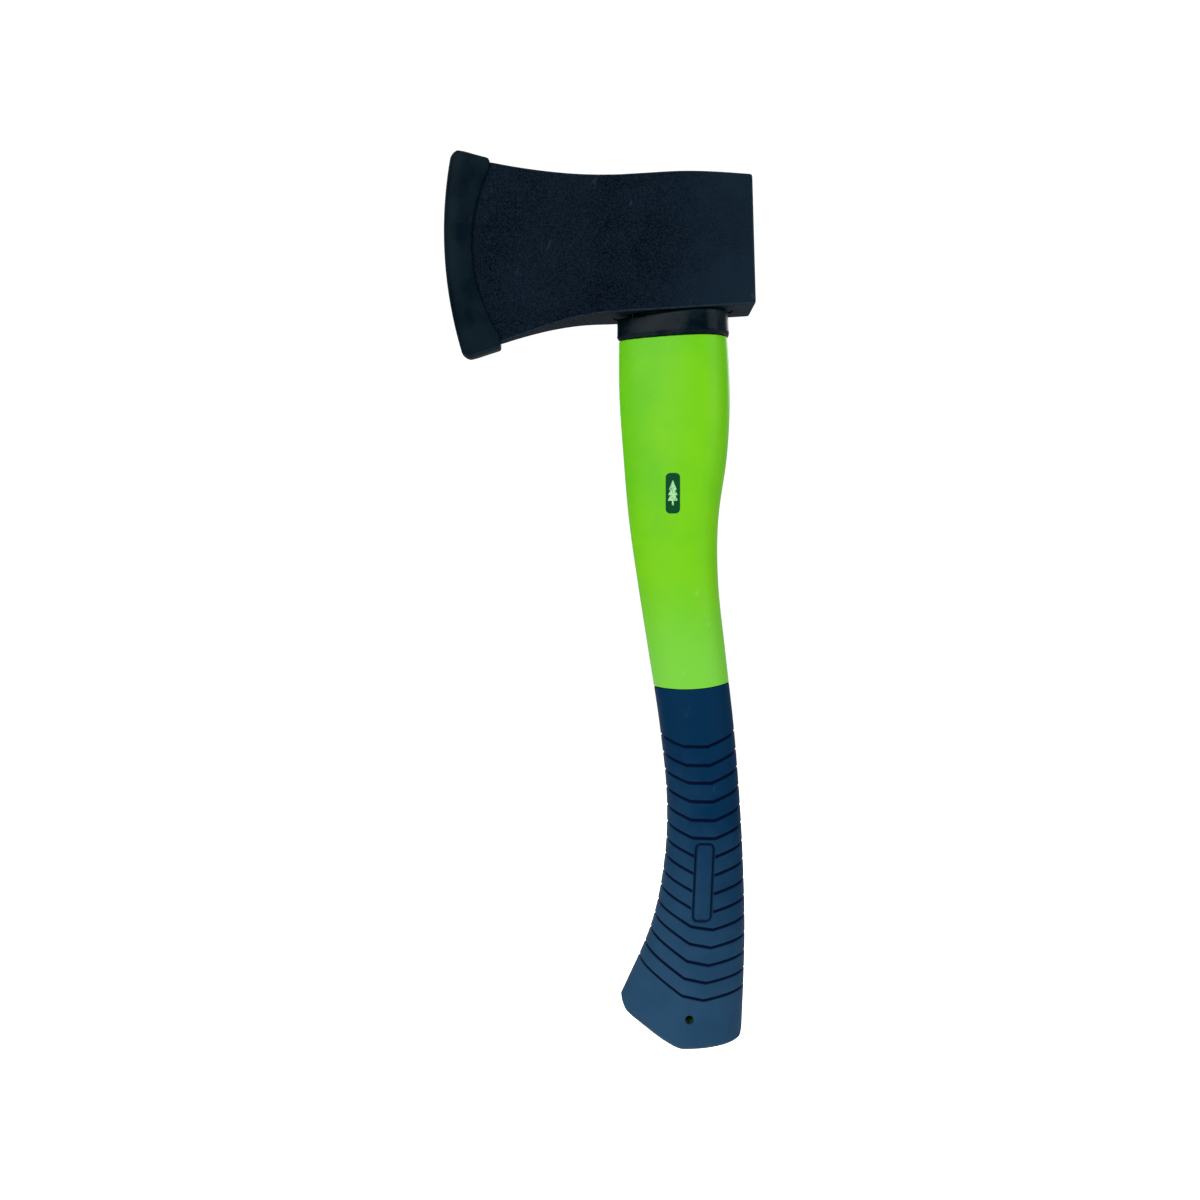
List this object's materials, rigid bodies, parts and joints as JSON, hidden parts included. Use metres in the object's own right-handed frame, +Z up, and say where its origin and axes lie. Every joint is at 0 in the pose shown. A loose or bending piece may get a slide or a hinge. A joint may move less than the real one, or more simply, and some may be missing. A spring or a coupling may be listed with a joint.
{
  "type": "hatchet",
  "caption": "Hatchet with a forged head, a slide-off rubber edge guard and a curved two-part moulded handle over a fibreglass core.",
  "frame": {"origin": "on the handle's axis, level with the underside of the head", "axes": "+Z up along the neck of the handle towards the head, -X towards the cutting edge, +X towards the poll, Y through the cheeks with the badge on the -Y side"},
  "size_m": [0.1239, 0.027, 0.3601],
  "materials": {
    "coated_steel": "fine-textured black powder coat on forged steel, with light scuffs",
    "guard_rubber": "smooth satin black moulded rubber",
    "epoxy": "black cast epoxy with a slight meniscus",
    "fibreglass": "pultruded straw-coloured glass fibre and resin, ends ground",
    "collar_plastic": "glossy black moulding",
    "lime_plastic": "lime green moulded polypropylene, soft gloss",
    "badge_print": "dark green in-mould label with a plain pine-tree figure",
    "grip_rubber": "navy thermoplastic rubber, fine satin"
  },
  "bodies": {
    "hatchet": {"head": "coated_steel", "eye_bond": "epoxy", "core_rod": "fibreglass", "collar": "collar_plastic", "handle_jacket": "lime_plastic", "badge": "badge_print", "grip": "grip_rubber"},
    "guard": {"edge_guard": "guard_rubber"}
  },
  "joints": [
    {"name": "guard_slide", "type": "slide", "parent": "hatchet", "child": "guard", "axis": [-0.9981, 0, -0.061], "range_m": [0, 0.035]}
  ]
}
